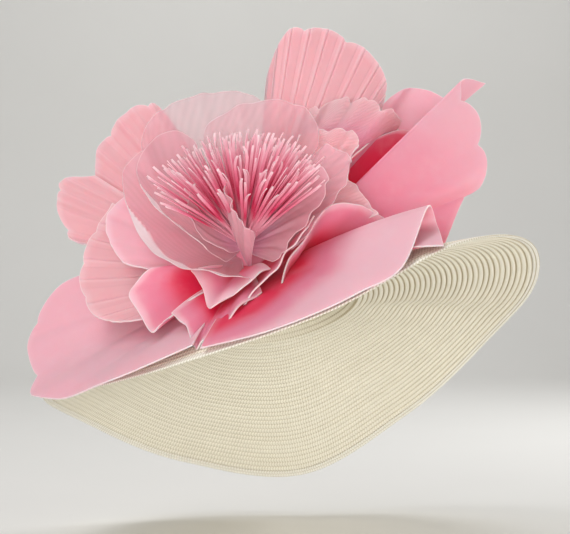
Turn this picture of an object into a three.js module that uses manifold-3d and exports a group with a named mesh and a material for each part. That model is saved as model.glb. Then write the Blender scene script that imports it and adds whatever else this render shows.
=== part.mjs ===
import * as THREE from "three";
import { mergeVertices } from "three/addons/utils/BufferGeometryUtils.js";
import Module from "manifold-3d";

// Race day hat: a wide drooping brim and a plain round crown of sewn straw braid, with one
// giant open flower of foam and organza petals in front of the crown.
// Lengths are in millimetres and angles in degrees. The part's frame has +Z up and -Y the
// way the wearer faces. The origin is the centre of the head opening, and the hat keeps the
// tilt and the droop that it has on the head.

// Attitude on the head: roll raises the +X side, pitch raises the back, yaw turns the front.
const WORN = { roll: 14, pitch: -19.5, yaw: 7 };

// Straw: wall thickness, the gap left between neighbouring pieces, and the oval opening.
const STRAW = 1.6;
const GAP = 0.3;
const OPENING = { halfWidth: 82, halfDepth: 98 };

// Points of one solid that are closer than these are joined: as made, and after a cut.
const JOINED = { made: 1e-4, cut: 4e-3 };

// Brim: its width along the straw, and its slope in degrees where it joins the crown and at
// the rim, every 30 degrees of bearing from +X over the back (90) to the front (270).
const BRIM = { width: 205, start: 0.9, around: 48, across: 6, steps: 12 };
const BRIM_SLOPE = {
  join: [-4, -7, -14, -26, -17, -4, -6, -10, -14, -15, -7, -3],
  rim: [-14, -19, -42, -59, -35, -18, -17, -35, -46, -42, -19, -11],
};
const RIM_BAND = { width: 8, thick: 2.6 };

// A soft fold that runs out along the brim: its bearing, half its spread, and how far it lifts
// the straw half way out.
const BRIM_FOLD = { bearing: 18, spread: 7, lift: 4 };

// Crown: wall height up to the rounded shoulder, inward lean, shoulder radius and dome rise,
// with the scales of the dome's rings and the count of rings round the shoulder.
const CROWN = { wall: 78, lean: 6, shoulder: 26, dome: 10, around: 36, skirt: 1 };
const CROWN_RINGS = { dome: [0.72, 0.4], shoulder: 4 };

// Flower: its middle in the part's frame, how far its axis leans up from level, and the core
// that every petal is rooted in, as radius and rise along the axis.
const FLOWER = { middle: [-39.1, -150, 56.9], lean: 45 };
const CORE = { radius: [20, 27, 29, 24, 14, 8], rise: [-50, -42, -22, 0, 14, 22], around: 20 };

// Petals: thicknesses, half of the root's width, rows of facets from root to edge, height of a
// rib, and a notch's spread as a share of the edge.
const PETAL = { foam: 1.5, organza: 1, rootHalf: 9, across: 3, ribHeight: 1.1, spread: 0.035 };

// Stamens: strips that start at a share of their length and bend outward. They open from least
// to most degrees off the axis, in a bunch that is wider than it is high and leans rightward
// and upward. They stand on a button, whose dome is a share of its radius high.
const STAMENS = { count: 20, length: 111, width: 2.4, thick: 1.4, bend: 9, start: 0.06 };
const BUNCH = { least: 4, most: 52, wide: 1.05, high: 0.85, rightward: 0.25, upward: 0.45 };
const BUTTON = { radius: 11, domed: 0.8, base: 1, around: 12 };

// Petals from the last one trimmed to the first. A petal's free edge runs from side to side
// through stations: clock is the angle round the flower's axis, counter-clockwise as the
// viewer sees it, reach the distance from the axis, and rise the height along the axis. Notches
// between the edge's lobes sit at shares of the way along it, notch being their depth as a share
// of the petal's length. belly is how far a petal bulges, and ribs how many pressed ribs it has.
const PETALS = {
  smooth_back: {
    kind: "foam", segments: 8, belly: -6, root: { clock: 38, reach: 22, rise: -38 },
    clock: [30, 36, 43, 47, 49],
    reach: [275, 325, 320, 300, 265],
    rise: [-70, -30, -12, -12, -20],
  },
  smooth_right: {
    kind: "foam", segments: 12, belly: 6, notches: [0.23, 0.57, 0.76], notch: 0.04,
    root: { clock: 15, reach: 22, rise: -28 },
    clock: [5, 14, 16, 20, 25, 30, 30],
    reach: [205, 245, 275, 295, 310, 312, 345],
    rise: [-65, -50, -45, -30, 0, 35, 10],
  },
  ribbed_top: {
    kind: "foam", segments: 24, ribs: 12, belly: -4, notches: [0.42, 0.6, 0.9], notch: 0.03,
    root: { clock: 58, reach: 22, rise: -18 },
    clock: [44, 46, 52, 60, 68, 73, 74],
    reach: [250, 280, 295, 298, 285, 245, 210],
    rise: [5, 25, 50, 70, 80, 55, 35],
  },
  deep_right: {
    kind: "foam", segments: 8, belly: -5, root: { clock: 27, reach: 22, rise: -20 },
    clock: [33, 37, 39, 39, 37],
    reach: [260, 255, 220, 185, 160],
    rise: [-35, -12, 2, 9, 14],
  },
  ribbed_upper_left: {
    kind: "foam", segments: 16, ribs: 8, belly: -4, notches: [0.3, 0.62], notch: 0.03,
    root: { clock: 112, reach: 22, rise: -14 },
    clock: [102, 106, 116, 125, 135],
    reach: [185, 228, 235, 230, 205],
    rise: [30, 60, 55, 40, 20],
  },
  ribbed_left: {
    kind: "foam", segments: 12, ribs: 6, belly: -4, notches: [0.33, 0.67], notch: 0.03,
    root: { clock: 145, reach: 22, rise: -10 },
    clock: [134, 141, 147, 154, 156],
    reach: [200, 228, 220, 200, 175],
    rise: [40, 45, 30, 15, 10],
  },
  ribbed_lower_left: {
    kind: "foam", segments: 16, ribs: 8, belly: -4, notches: [0.2, 0.4, 0.6, 0.8], notch: 0.025,
    root: { clock: 168, reach: 22, rise: -6 },
    clock: [143, 157, 172, 188, 204],
    reach: [155, 168, 175, 162, 120],
    rise: [40, 25, 10, -5, 5],
  },
  smooth_left: {
    kind: "foam", segments: 14, belly: 6, notches: [0.25, 0.5], notch: 0.03,
    root: { clock: 215, reach: 22, rise: -16 },
    clock: [156, 161, 170, 176, 187, 195, 206, 221, 243],
    reach: [155, 215, 245, 251, 248, 252, 229, 190, 145],
    rise: [-15, -35, -55, -62, -57, -46, -20, 15, 40],
  },
  smooth_front: {
    kind: "foam", segments: 12, belly: 6, root: { clock: 300, reach: 20, rise: -4 },
    clock: [247, 270, 289, 304, 319, 352, 352, 331],
    reach: [150, 150, 155, 170, 185, 187, 195, 210],
    rise: [42, 55, 60, 65, 65, 40, 10, 58],
  },
  crepe_upper_right: {
    kind: "foam", segments: 10, belly: -4, notches: [0.2, 0.4, 0.6, 0.8], notch: 0.04,
    root: { clock: 48, reach: 22, rise: -8 },
    clock: [41, 40, 39, 45, 51, 57, 61],
    reach: [226, 260, 248, 240, 228, 205, 185],
    rise: [-10, -18, 18, 30, 35, 38, 40],
  },
  soft_left: {
    kind: "foam", segments: 8, belly: 0, root: { clock: 162, reach: 20, rise: 2 },
    clock: [140, 152, 163, 175, 188],
    reach: [138, 147, 138, 120, 88],
    rise: [50, 47, 38, 30, 28],
  },
  cupped_right: {
    kind: "foam", segments: 10, belly: -10, root: { clock: 345, reach: 22, rise: -14 },
    clock: [285, 300, 328, 355, 363, 364, 361],
    reach: [87, 68, 65, 84, 108, 130, 150],
    rise: [26, 33, 41, 47, 43, 25, 3],
  },
  crepe_right: {
    kind: "foam", segments: 10, belly: -4, notches: [0.25, 0.5, 0.75], notch: 0.04,
    root: { clock: 35, reach: 20, rise: 2 },
    clock: [2, 15, 29, 34, 41, 49, 54],
    reach: [140, 133, 142, 175, 175, 160, 142],
    rise: [15, 28, 36, 38, 44, 48, 50],
  },
  ruffled_left: {
    kind: "foam", segments: 10, belly: 4, root: { clock: 222, reach: 20, rise: 0 },
    clock: [188, 190, 197, 217, 220, 226],
    reach: [65, 100, 124, 133, 115, 78],
    rise: [30, 37, 32, 20, 25, 26],
  },
  ruffled_front_left: {
    kind: "foam", segments: 8, belly: 4, root: { clock: 250, reach: 20, rise: 4 },
    clock: [222, 235, 244, 249, 257, 276],
    reach: [110, 122, 142, 130, 107, 77],
    rise: [33, 34, 34, 37, 38, 34],
  },
  ruffled_front: {
    kind: "foam", segments: 10, belly: -2, root: { clock: 296, reach: 20, rise: 8 },
    clock: [253, 265, 284, 307, 331, 349],
    reach: [100, 86, 71, 62, 65, 78],
    rise: [29, 36, 41, 44, 48, 52],
  },
  pointed_front: {
    kind: "foam", segments: 8, belly: 4, root: { clock: 262, reach: 20, rise: 14 },
    clock: [206, 227, 243, 254, 271, 292],
    reach: [62, 70, 97, 82, 67, 56],
    rise: [32, 33, 35, 40, 40, 36],
  },
  organza_top: {
    kind: "organza", segments: 10, belly: -8, root: { clock: 90, reach: 16, rise: 10 },
    clock: [67, 79, 90, 101, 112, 124],
    reach: [176, 180, 180, 178, 173, 165],
    rise: [70, 78, 84, 87, 84, 75],
  },
  organza_inner_top: {
    kind: "organza", segments: 8, belly: -6, root: { clock: 70, reach: 14, rise: 16 },
    clock: [44, 57, 71, 85, 98],
    reach: [160, 170, 166, 152, 142],
    rise: [52, 66, 75, 75, 75],
  },
  organza_left: {
    kind: "organza", segments: 10, belly: -8, root: { clock: 190, reach: 8, rise: 18 },
    clock: [120, 136, 154, 180, 212, 244, 272],
    reach: [163, 147, 116, 90, 70, 65, 75],
    rise: [87, 67, 57, 48, 50, 52, 50],
  },
  organza_inner_left: {
    kind: "organza", segments: 10, belly: -8, root: { clock: 170, reach: 6, rise: 26 },
    clock: [100, 114, 131, 145, 165, 203, 244],
    reach: [140, 140, 130, 104, 68, 46, 50],
    rise: [84, 88, 81, 74, 70, 64, 55],
  },
  organza_right: {
    kind: "organza", segments: 10, belly: -6, root: { clock: 0, reach: 8, rise: 22 },
    clock: [320, 348, 369, 382, 394, 402],
    reach: [70, 85, 116, 136, 133, 118],
    rise: [49, 56, 58, 59, 60, 57],
  },
  organza_veil_front: {
    kind: "organza", segments: 6, belly: -4, root: { clock: 270, reach: 18, rise: 12 },
    clock: [90, 262, 270, 277, 284, 298],
    reach: [5, 11, 22, 33, 41, 41],
    rise: [120, 111, 103, 92, 82, 77],
  },
  organza_veil_left: {
    kind: "organza", segments: 8, belly: -4, root: { clock: 200, reach: 5, rise: 30 },
    clock: [112, 136, 171, 212, 247],
    reach: [64, 54, 45, 40, 42],
    rise: [80, 77, 72, 67, 61],
  },
  organza_veil_right: {
    kind: "organza", segments: 8, belly: -4, root: { clock: 330, reach: 5, rise: 28 },
    clock: [296, 318, 353, 375, 379],
    reach: [64, 64, 87, 100, 77],
    rise: [47, 56, 68, 75, 70],
  },
};

const rad = THREE.MathUtils.degToRad;

// A straight-through cubic between the values of a table that closes on itself.
function cyclic(values, position) {
  const count = values.length;
  const first = Math.floor(position);
  const t = position - first;
  const at = (step) => values[(first + step + count) % count];
  const [a, b, c, d] = [at(-1), at(0), at(1), at(2)];
  return b + 0.5 * t * (c - a + t * (2 * a - 5 * b + 4 * c - d + t * (3 * (b - c) + d - a)));
}

// A point of the brim, at a bearing in radians and a share of its width from join to rim.
function brimPoint(bearing, share) {
  const position = (bearing / (2 * Math.PI)) * BRIM_SLOPE.rim.length;
  const join = rad(cyclic(BRIM_SLOPE.join, position));
  const rim = rad(cyclic(BRIM_SLOPE.rim, position));
  const cos = Math.cos(bearing);
  const sin = Math.sin(bearing);
  const out = new THREE.Vector3(cos / OPENING.halfWidth, sin / OPENING.halfDepth, 0).normalize();
  const point = new THREE.Vector3(OPENING.halfWidth * cos, OPENING.halfDepth * sin, 0);
  const stride = (BRIM.width * share) / BRIM.steps;
  for (let i = 0; i < BRIM.steps; i++) {
    const slope = join + (rim - join) * share * ((i + 0.5) / BRIM.steps);
    point.addScaledVector(out, stride * Math.cos(slope));
    point.z += stride * Math.sin(slope);
  }
  const away = (THREE.MathUtils.radToDeg(bearing) - BRIM_FOLD.bearing) / BRIM_FOLD.spread;
  point.z += BRIM_FOLD.lift * Math.sin(Math.PI * share) * Math.exp(-away * away);
  return point;
}

// A closed skin of even thickness round a grid of points: rows of the grid run out from the
// root, columns run across, and a ring's last column meets its first. grow swells the skin.
function skin(grid, thick, { ring = false, grow = 0 } = {}) {
  const rows = grid.length;
  const cols = grid[0].length;
  const spread = (from, to) => to.clone().sub(from).setLength(grow).add(to);
  const wide = grid.map((row) => row.map((p) => p.clone()));
  if (grow > 0) {
    for (let j = 0; j < cols; j++) {
      wide[0][j] = spread(grid[1][j], grid[0][j]);
      wide[rows - 1][j] = spread(grid[rows - 2][j], grid[rows - 1][j]);
    }
    if (!ring) {
      for (let i = 0; i < rows; i++) {
        wide[i][0] = spread(wide[i][1], wide[i][0]);
        wide[i][cols - 1] = spread(wide[i][cols - 2], wide[i][cols - 1]);
      }
    }
  }
  const normal = (i, j) => {
    const before = ring ? (j + cols - 1) % cols : Math.max(j - 1, 0);
    const after = ring ? (j + 1) % cols : Math.min(j + 1, cols - 1);
    const across = wide[i][after].clone().sub(wide[i][before]);
    const out = wide[Math.min(i + 1, rows - 1)][j].clone().sub(wide[Math.max(i - 1, 0)][j]);
    return out.cross(across).normalize();
  };
  const positions = [];
  for (const side of [1, -1]) {
    for (let i = 0; i < rows; i++) {
      for (let j = 0; j < cols; j++) {
        const p = wide[i][j].clone().addScaledVector(normal(i, j), side * (thick / 2 + grow));
        positions.push(p.x, p.y, p.z);
      }
    }
  }
  const index = [];
  const quad = (a, b, c, d) => index.push(a, b, c, a, c, d);
  const top = (i, j) => i * cols + (j % cols);
  const under = (i, j) => rows * cols + top(i, j);
  const last = ring ? cols : cols - 1;
  for (let i = 0; i < rows - 1; i++) {
    for (let j = 0; j < last; j++) {
      quad(top(i, j), top(i + 1, j), top(i + 1, j + 1), top(i, j + 1));
      quad(under(i, j), under(i, j + 1), under(i + 1, j + 1), under(i + 1, j));
    }
    if (!ring) {
      quad(top(i, 0), under(i, 0), under(i + 1, 0), top(i + 1, 0));
      quad(top(i, last), top(i + 1, last), under(i + 1, last), under(i, last));
    }
  }
  for (let j = 0; j < last; j++) {
    quad(top(0, j), top(0, j + 1), under(0, j + 1), under(0, j));
    quad(top(rows - 1, j), under(rows - 1, j), under(rows - 1, j + 1), top(rows - 1, j + 1));
  }
  const geometry = new THREE.BufferGeometry();
  geometry.setAttribute("position", new THREE.Float32BufferAttribute(positions, 3));
  geometry.setIndex(index);
  return geometry;
}

const wasm = await Module();
wasm.setup();

// A closed geometry as a solid for cutting and joining, and a solid as a geometry again.
function solidOf(geometry, tolerance = JOINED.made) {
  const plain = geometry.clone();
  plain.deleteAttribute("normal");
  plain.deleteAttribute("uv");
  const merged = mergeVertices(plain, tolerance);
  return new wasm.Manifold(
    new wasm.Mesh({
      numProp: 3,
      vertProperties: merged.attributes.position.array,
      triVerts: new Uint32Array(merged.index.array),
    }),
  );
}

function geometryOf(solid) {
  const mesh = solid.getMesh();
  const geometry = new THREE.BufferGeometry();
  geometry.setAttribute("position", new THREE.Float32BufferAttribute(mesh.vertProperties, 3));
  geometry.setIndex(Array.from(mesh.triVerts));
  return geometry;
}

// A cut solid with the points closer than a few microns joined, as one body.
function tidied(solid) {
  return geometryOf(largest(solidOf(geometryOf(solid), JOINED.cut)));
}

function largest(solid) {
  const pieces = solid.decompose();
  return pieces.reduce((most, piece) => (piece.volume() > most.volume() ? piece : most));
}

// The hat's own frame, turned as it is worn, and the flower's frame, whose z is its axis.
const hat = new THREE.Group();
hat.matrixAutoUpdate = false;
hat.matrix
  .makeRotationY(rad(-WORN.roll))
  .multiply(new THREE.Matrix4().makeRotationX(rad(WORN.pitch)))
  .multiply(new THREE.Matrix4().makeRotationZ(rad(WORN.yaw)));

const flower = new THREE.Group();
flower.matrixAutoUpdate = false;
const rightward = new THREE.Vector3(Math.cos(rad(WORN.roll)), 0, Math.sin(rad(WORN.roll)));
const upright = new THREE.Vector3(-Math.sin(rad(WORN.roll)), 0, Math.cos(rad(WORN.roll)));
const axis = new THREE.Vector3(0, -Math.cos(rad(FLOWER.lean)), 0)
  .addScaledVector(upright, Math.sin(rad(FLOWER.lean)));
const upward = axis.clone().cross(rightward);
flower.matrix.makeBasis(rightward, upward, axis).setPosition(...FLOWER.middle);
const hatToFlower = flower.matrix.clone().invert().multiply(hat.matrix);

// A point from its clock, reach and rise in the flower's frame.
function station(clock, reach, rise) {
  return new THREE.Vector3(reach * Math.cos(rad(clock)), reach * Math.sin(rad(clock)), rise);
}

// The middle surface of a petal: straight rays from a short root to the free edge, bellied
// along the petal, with notches in the edge and pressed ribs that grow toward it.
function petalGrid(petal) {
  const edge = new THREE.CatmullRomCurve3(
    petal.clock.map((clock, i) => station(clock, petal.reach[i], petal.rise[i])),
    false,
    "catmullrom",
    0.5,
  );
  const root = station(petal.root.clock, petal.root.reach, petal.root.rise);
  const side = edge.getPoint(1).sub(edge.getPoint(0)).normalize();
  const lift = edge.getPoint(0.5).sub(root).cross(side).normalize();
  const grid = [];
  for (let i = 0; i <= PETAL.across; i++) {
    const u = i / PETAL.across;
    const row = [];
    for (let j = 0; j <= petal.segments; j++) {
      const v = j / petal.segments;
      const start = root.clone().addScaledVector(side, PETAL.rootHalf * (2 * v - 1));
      const dips = (petal.notches ?? []).map((n) => Math.exp(-Math.abs(v - n) / PETAL.spread));
      const length = dips.reduce((rest, dip) => rest - petal.notch * dip, 1);
      const point = start.clone().lerp(edge.getPoint(v), u * length);
      point.addScaledVector(lift, 4 * petal.belly * u * (1 - u));
      if (petal.ribs) {
        const rib = PETAL.ribHeight * u * Math.cos(2 * Math.PI * petal.ribs * v);
        point.addScaledVector(lift, rib);
      }
      row.push(point);
    }
    grid.push(row);
  }
  return grid;
}

// Crown profile as a share of the opening's radius taken off, and a height, from the skirt
// at the brim up the wall, round the shoulder and over the dome.
function crownProfile(inset) {
  const profile = [];
  const lean = Math.tan(rad(CROWN.lean));
  for (const share of [0, 0.5, 1]) {
    const z = -CROWN.skirt + share * (CROWN.wall + CROWN.skirt);
    profile.push({ inward: z * lean + inset, z });
  }
  const shoulder = CROWN.shoulder - inset;
  for (let i = 1; i <= CROWN_RINGS.shoulder; i++) {
    const angle = ((i / CROWN_RINGS.shoulder) * Math.PI) / 2;
    profile.push({
      inward: CROWN.wall * lean + CROWN.shoulder - shoulder * Math.cos(angle),
      z: CROWN.wall + shoulder * Math.sin(angle),
    });
  }
  return profile;
}

// One ring of the crown at an inward step from the opening's oval, scaled for the dome.
function crownRing(inward, z, scale = 1) {
  const ring = [];
  for (let j = 0; j < CROWN.around; j++) {
    const bearing = (j / CROWN.around) * 2 * Math.PI;
    const cos = Math.cos(bearing);
    const sin = Math.sin(bearing);
    ring.push(
      new THREE.Vector3(
        (OPENING.halfWidth - inward) * cos * scale,
        (OPENING.halfDepth - inward) * sin * scale,
        z,
      ),
    );
  }
  return ring;
}

// The crown as one closed body: outer rings up to an apex, inner rings back down.
function crownGeometry(swell = 0) {
  const positions = [];
  const index = [];
  const starts = [];
  const add = (ring) => {
    starts.push(positions.length / 3);
    ring.forEach((p) => positions.push(p.x, p.y, p.z));
  };
  const side = (inset) => {
    const profile = crownProfile(inset);
    const brow = profile[profile.length - 1];
    const rings = profile.map(({ inward, z }) => crownRing(inward, z));
    for (const scale of CROWN_RINGS.dome) {
      const z = brow.z + CROWN.dome * (1 - scale * scale);
      rings.push(crownRing(brow.inward, z, scale));
    }
    return { rings, apex: brow.z + CROWN.dome };
  };
  const join = (a, b, turn) => {
    for (let j = 0; j < CROWN.around; j++) {
      const k = (j + 1) % CROWN.around;
      if (turn) index.push(a + j, b + j, b + k, a + j, b + k, a + k);
      else index.push(a + j, a + k, b + k, a + j, b + k, b + j);
    }
  };
  const outer = side(-swell);
  const inner = side(STRAW + swell);
  for (const [face, turn] of [[outer, false], [inner, true]]) {
    const first = starts.length;
    face.rings.forEach(add);
    for (let i = first; i < starts.length - 1; i++) join(starts[i], starts[i + 1], turn);
    const top = positions.length / 3;
    positions.push(0, 0, face.apex);
    const crest = starts[starts.length - 1];
    for (let j = 0; j < CROWN.around; j++) {
      const k = (j + 1) % CROWN.around;
      if (turn) index.push(crest + j, top, crest + k);
      else index.push(crest + j, crest + k, top);
    }
  }
  join(starts[0], starts[outer.rings.length], true);
  const geometry = new THREE.BufferGeometry();
  geometry.setAttribute("position", new THREE.Float32BufferAttribute(positions, 3));
  geometry.setIndex(index);
  return geometry;
}

// The brim from just outside the crown's wall to just inside the rim band.
function brimGrid(from, to, around, across) {
  const grid = [];
  for (let i = 0; i <= across; i++) {
    const share = from + (to - from) * (i / across);
    const row = [];
    for (let j = 0; j < around; j++) row.push(brimPoint((j / around) * 2 * Math.PI, share));
    grid.push(row);
  }
  return grid;
}

// The foam core, a turned body about the flower's axis.
function coreGeometry(swell = 0) {
  const outline = [new THREE.Vector2(0, CORE.rise[0] - swell)];
  CORE.rise.forEach((rise, i) => outline.push(new THREE.Vector2(CORE.radius[i] + swell, rise)));
  outline.push(new THREE.Vector2(0, CORE.rise[CORE.rise.length - 1] + swell));
  return new THREE.LatheGeometry(outline, CORE.around).rotateX(Math.PI / 2);
}

// Stamens: thin strips from a button, spread by the golden angle and bending outward.
function stamensSolid() {
  const strips = [];
  const seat = CORE.rise[CORE.rise.length - 1] + GAP;
  const golden = Math.PI * (3 - Math.sqrt(5));
  for (let i = 0; i < STAMENS.count; i++) {
    const share = (i + 0.5) / STAMENS.count;
    const open = rad(BUNCH.least + (BUNCH.most - BUNCH.least) * Math.sqrt(share));
    const turn = i * golden;
    const heading = new THREE.Vector3(
      Math.sin(open) * Math.cos(turn) * BUNCH.wide + BUNCH.rightward,
      Math.sin(open) * Math.sin(turn) * BUNCH.high + BUNCH.upward,
      Math.cos(open),
    ).normalize();
    const outward = new THREE.Vector3(Math.cos(turn), Math.sin(turn), 0);
    const across = new THREE.Vector3().crossVectors(heading, outward).normalize();
    const face = new THREE.Vector3().crossVectors(heading, across).normalize();
    const rows = [];
    for (const t of [0, 0.5, 1]) {
      const along = STAMENS.length * (STAMENS.start + (1 - STAMENS.start) * t);
      const middle = heading.clone().multiplyScalar(along);
      middle.addScaledVector(outward, STAMENS.bend * t * t);
      middle.z += seat;
      const half = STAMENS.width / 2;
      rows.push([-half, half].map((offset) => middle.clone().addScaledVector(across, offset)));
    }
    strips.push(solidOf(skin(rows, STAMENS.thick)));
  }
  const dome = [new THREE.Vector2(0, seat)];
  for (const angle of [0, 30, 60]) {
    const half = BUTTON.radius * Math.cos(rad(angle));
    const rise = BUTTON.radius * BUTTON.domed * Math.sin(rad(angle));
    dome.push(new THREE.Vector2(half, seat + BUTTON.base + rise));
  }
  dome.push(new THREE.Vector2(0, seat + BUTTON.base + BUTTON.radius * BUTTON.domed));
  const button = new THREE.LatheGeometry(dome, BUTTON.around).rotateX(Math.PI / 2);
  return { strips, button };
}

// Every solid, made in its own frame and checked against the ones that are already there. A
// petal gives way to each piece in front of it, so it ends a gap short of where they meet.
const inHat = new Map();
const inFlower = new Map();
const brimInner = BRIM.start / BRIM.width;
const brimOuter = 1 - (RIM_BAND.width + GAP) / BRIM.width;

inHat.set("crown", crownGeometry());
const sheet = brimGrid(brimInner, brimOuter, BRIM.around, BRIM.across);
inHat.set("brim", skin(sheet, STRAW, { ring: true }));
const band = brimGrid(1 - RIM_BAND.width / BRIM.width, 1, BRIM.around, 1);
inHat.set("brim_edge", skin(band, RIM_BAND.thick, { ring: true }));

const wholeBrim = brimGrid(brimInner, 1, BRIM.around, BRIM.across);
const obstacles = [
  solidOf(crownGeometry(GAP).applyMatrix4(hatToFlower)),
  solidOf(skin(wholeBrim, RIM_BAND.thick, { ring: true, grow: GAP }).applyMatrix4(hatToFlower)),
];

function cutClear(solid, others) {
  let rest = solid;
  for (const other of others) {
    if (!rest.intersect(other).isEmpty()) rest = largest(rest.subtract(other));
  }
  return rest;
}

const core = cutClear(solidOf(coreGeometry()), obstacles);
inFlower.set("flower_core", tidied(core));
obstacles.push(solidOf(coreGeometry(GAP)));

for (const [name, petal] of Object.entries(PETALS).reverse()) {
  const grid = petalGrid(petal);
  const thick = PETAL[petal.kind];
  const solid = cutClear(solidOf(skin(grid, thick)), obstacles);
  inFlower.set(name, tidied(solid));
  obstacles.push(solidOf(skin(grid, thick, { grow: GAP })));
}

const { strips, button } = stamensSolid();
const bunch = strips.reduce((whole, strip) => whole.add(strip), solidOf(button));
inFlower.set("stamens", tidied(cutClear(bunch, obstacles)));

const LOOKS = {
  straw: { color: 0xece4cf, roughness: 0.75, metalness: 0 },
  foam: { color: 0xf0a5b8, roughness: 0.55, metalness: 0 },
  organza: { color: 0xf4d3dc, roughness: 0.35, metalness: 0 },
  flower_core: { color: 0xe8a3b4, roughness: 0.8, metalness: 0 },
  stamens: { color: 0xf2a9bb, roughness: 0.5, metalness: 0 },
};

const root = new THREE.Group();
root.add(hat, flower);
for (const [group, pieces] of [[hat, inHat], [flower, inFlower]]) {
  for (const [name, geometry] of pieces) {
    geometry.computeVertexNormals();
    const kind = PETALS[name]?.kind ?? (group === hat ? "straw" : name);
    const mesh = new THREE.Mesh(geometry, new THREE.MeshStandardMaterial(LOOKS[kind]));
    mesh.name = name;
    group.add(mesh);
  }
}

export default root;
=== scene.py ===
"""Race day hat: a wide drooping brim and a round crown of sewn straw braid, with one giant
open flower of foam and organza petals in front of the crown. Lengths are in metres, and the
petal chart is in millimetres and degrees."""

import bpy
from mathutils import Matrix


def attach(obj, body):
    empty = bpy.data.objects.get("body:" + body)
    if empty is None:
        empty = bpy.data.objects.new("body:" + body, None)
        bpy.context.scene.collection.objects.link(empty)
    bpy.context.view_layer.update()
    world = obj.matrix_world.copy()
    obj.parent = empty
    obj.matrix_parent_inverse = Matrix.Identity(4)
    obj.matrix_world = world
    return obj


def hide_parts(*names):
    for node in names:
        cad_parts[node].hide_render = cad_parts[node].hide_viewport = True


bl_info = {
    "name": "Race day hat",
    "version": (1, 0, 0),
    "blender": (4, 5, 0),
    "location": "3D View > Sidebar > Race day hat",
    "description": "Builds the straw, the flower and the stage of a race day hat",
    "category": "Object",
}

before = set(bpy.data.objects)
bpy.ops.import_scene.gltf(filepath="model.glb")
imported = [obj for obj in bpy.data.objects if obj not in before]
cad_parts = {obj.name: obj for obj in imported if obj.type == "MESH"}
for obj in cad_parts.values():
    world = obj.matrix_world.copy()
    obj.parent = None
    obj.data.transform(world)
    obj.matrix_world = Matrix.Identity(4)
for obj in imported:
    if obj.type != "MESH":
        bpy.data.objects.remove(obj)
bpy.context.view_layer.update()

import math
from typing import NamedTuple

import bpy
import numpy as np
from bpy.props import FloatProperty, FloatVectorProperty, IntProperty, PointerProperty
from mathutils import Vector
from mathutils.bvhtree import BVHTree

MM = 0.001

# The tilt of the hat on the head, in degrees: roll raises +X, pitch raises the back.
ROLL, PITCH, YAW = 14.0, -19.5, 7.0

# The oval head opening and the gap left between neighbouring pieces.
HALF_WIDTH, HALF_DEPTH = 0.082, 0.098
OPENING_GIRTH = math.tau * (HALF_WIDTH + HALF_DEPTH) / 2
GAP = 0.0003

# The brim's width, the band at its rim, and its slope in degrees at the join and at the rim,
# every 30 degrees of bearing from +X over the back to the front.
BRIM_WIDTH, BAND_WIDTH = 0.205, 0.008
JOIN_SLOPE = (-4, -7, -14, -26, -17, -4, -6, -10, -14, -15, -7, -3)
RIM_SLOPE = (-14, -19, -42, -59, -35, -18, -17, -35, -46, -42, -19, -11)

# A soft fold that runs out along the brim: its bearing and half its spread, in degrees, and how
# far it lifts the straw half way out.
FOLD_BEARING, FOLD_SPREAD, FOLD_LIFT = 18.0, 7.0, 0.004

# The crown: wall height, inward lean in degrees, shoulder radius and the dome's rise.
WALL, LEAN, SHOULDER, DOME, SKIRT = 0.078, 6.0, 0.026, 0.010, 0.001

# The bunch of stamens: how far it opens in degrees, its spread to the right and up, and its lean.
BUNCH_OPENING, BUNCH_SPREAD, BUNCH_LEAN = 48.0, (1.05, 0.85), (0.25, 0.45)

# The flower's middle, how far its axis leans up from level, and its core's outline.
FLOWER_MIDDLE = (-0.0391, -0.150, 0.0569)
FLOWER_LEAN = 45.0
CORE_RADIUS = (0.020, 0.027, 0.029, 0.024, 0.014, 0.008)
CORE_RISE = (-0.050, -0.042, -0.022, 0.0, 0.014, 0.022)


class Petal(NamedTuple):
    """One petal of the flower. Its free edge runs through stations from side to side: clock is
    the angle round the flower's axis, reach the distance from it and rise the height along it.
    root is one such station and belly how far the petal bulges. notches are where the edge's
    notches sit and notch their depth as a share, ribs how many pressed ribs there are and crisp
    how sharp they are and how strong the painted shade in their grooves and the painted highlight
    on their lips, ruffle and waves the height and count of the edge's waves, and jag how uneven
    the edge is. folds and fold are the count and height of soft folds along the petal,
    flush how far out the deep pink reaches, from the first station to the last,
    partly the foam's own dye and partly painted shade set deeper in valleys, folds and the gaps
    between petals, and fade how softly it pales, and hem the stretch of edge that is turned over."""

    kind: str
    root: tuple
    belly: float
    clock: tuple
    reach: tuple
    rise: tuple
    notches: tuple = ()
    notch: float = 0.0
    ribs: int = 0
    crisp: float = 0.0
    ruffle: float = 0.6
    waves: float = 2.0
    jag: float = 0.003
    folds: float = 2.5
    fold: float = 1.0
    flush: tuple = (0.3, 0.3)
    fade: float = 0.7
    hem: tuple = ()


# In this chart the reach of each petal's deep pink is partly the foam's dye and partly painted
# shade set in its valleys, folds and gaps.
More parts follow.
